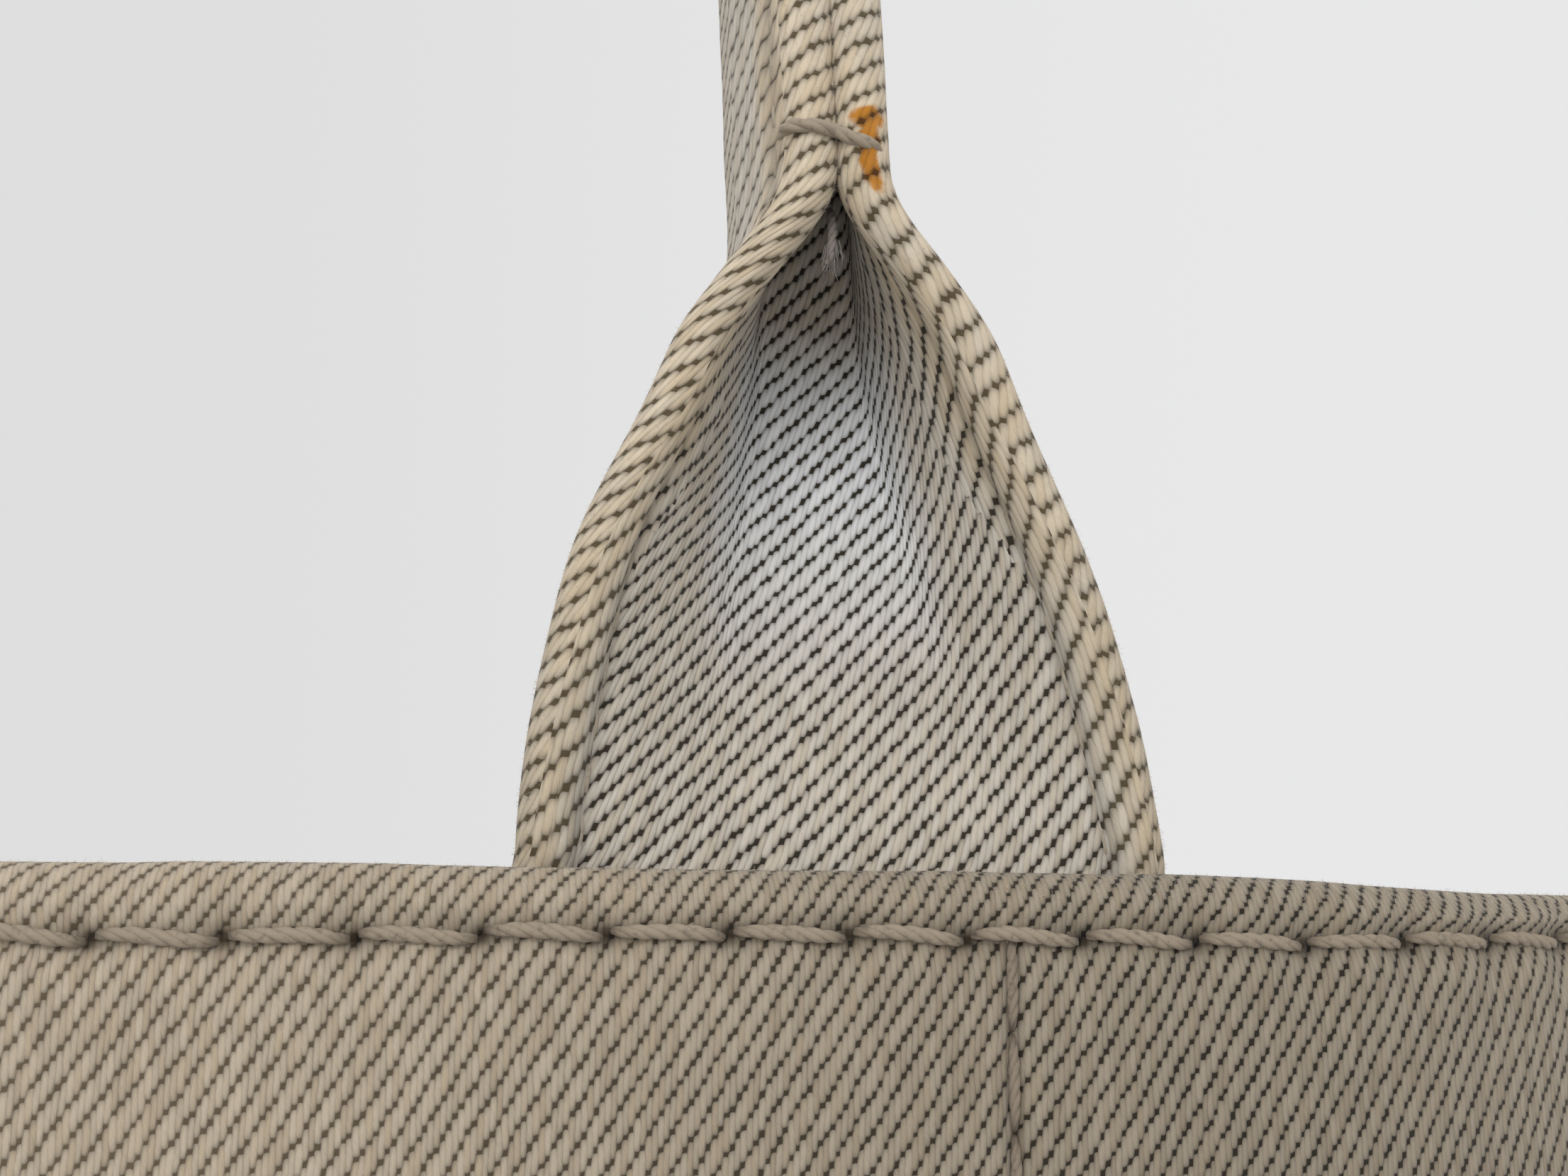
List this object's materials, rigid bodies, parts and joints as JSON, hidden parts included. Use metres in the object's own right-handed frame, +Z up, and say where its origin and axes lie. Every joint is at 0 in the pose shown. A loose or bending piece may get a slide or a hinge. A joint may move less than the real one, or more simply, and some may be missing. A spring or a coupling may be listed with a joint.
{
  "type": "tool bucket organizer",
  "caption": "Free-standing canvas bucket with inner and outer tool pockets, a stiffened wall and two strap handles folded into grips.",
  "frame": {"origin": "centre of the bucket's underside", "axes": "+Z up out of the bucket's mouth, -Y out of the front panel, +X to the right seen from the front"},
  "size_m": [0.323, 0.3069, 0.4133],
  "materials": {
    "body_canvas": "cream cotton twill",
    "pocket_canvas": "cream cotton twill",
    "lining_canvas": "plain cream cotton",
    "strap_canvas": "cream cotton twill, yellowed at the edges",
    "binding_tape": "taupe cotton tape",
    "board": "grey stiffener sheet"
  },
  "bodies": {
    "bucket": {"outer_canvas": "body_canvas", "front_stiffener": "board", "rear_stiffener": "board", "left_stiffener": "board", "right_stiffener": "board", "lining": "lining_canvas", "base_canvas": "body_canvas", "base_board": "board", "base_lining": "lining_canvas", "base_piping": "binding_tape", "left_seam_tape": "binding_tape", "right_seam_tape": "binding_tape", "front_left_pocket": "pocket_canvas", "front_right_pocket": "pocket_canvas", "rear_left_pocket": "pocket_canvas", "rear_right_pocket": "pocket_canvas", "left_front_pocket": "pocket_canvas", "left_rear_pocket": "pocket_canvas", "right_front_pocket": "pocket_canvas", "right_rear_pocket": "pocket_canvas", "front_left_binding": "binding_tape", "front_right_binding": "binding_tape", "rear_left_binding": "binding_tape", "rear_right_binding": "binding_tape", "left_front_binding": "binding_tape", "left_rear_binding": "binding_tape", "right_front_binding": "binding_tape", "right_rear_binding": "binding_tape", "inner_front_pocket": "lining_canvas", "inner_rear_pocket": "lining_canvas", "inner_left_front_pocket": "lining_canvas", "inner_left_rear_pocket": "lining_canvas", "inner_right_front_pocket": "lining_canvas", "inner_right_rear_pocket": "lining_canvas", "inner_front_binding": "binding_tape", "inner_rear_binding": "binding_tape", "inner_left_front_binding": "binding_tape", "inner_left_rear_binding": "binding_tape", "inner_right_front_binding": "binding_tape", "inner_right_rear_binding": "binding_tape", "front_strap_ends": "strap_canvas", "rear_strap_ends": "strap_canvas"},
    "front_handle": {"front_handle": "strap_canvas"},
    "rear_handle": {"rear_handle": "strap_canvas"}
  },
  "joints": [
    {"name": "front_handle_swing", "type": "hinge", "parent": "bucket", "child": "front_handle", "pos_m": [0, -0.1197, 0.2977], "axis": [1, 0, 0], "range_deg": [-80, 165]},
    {"name": "rear_handle_swing", "type": "hinge", "parent": "bucket", "child": "rear_handle", "pos_m": [0, 0.1197, 0.2977], "axis": [1, 0, 0], "range_deg": [0, 245]}
  ]
}
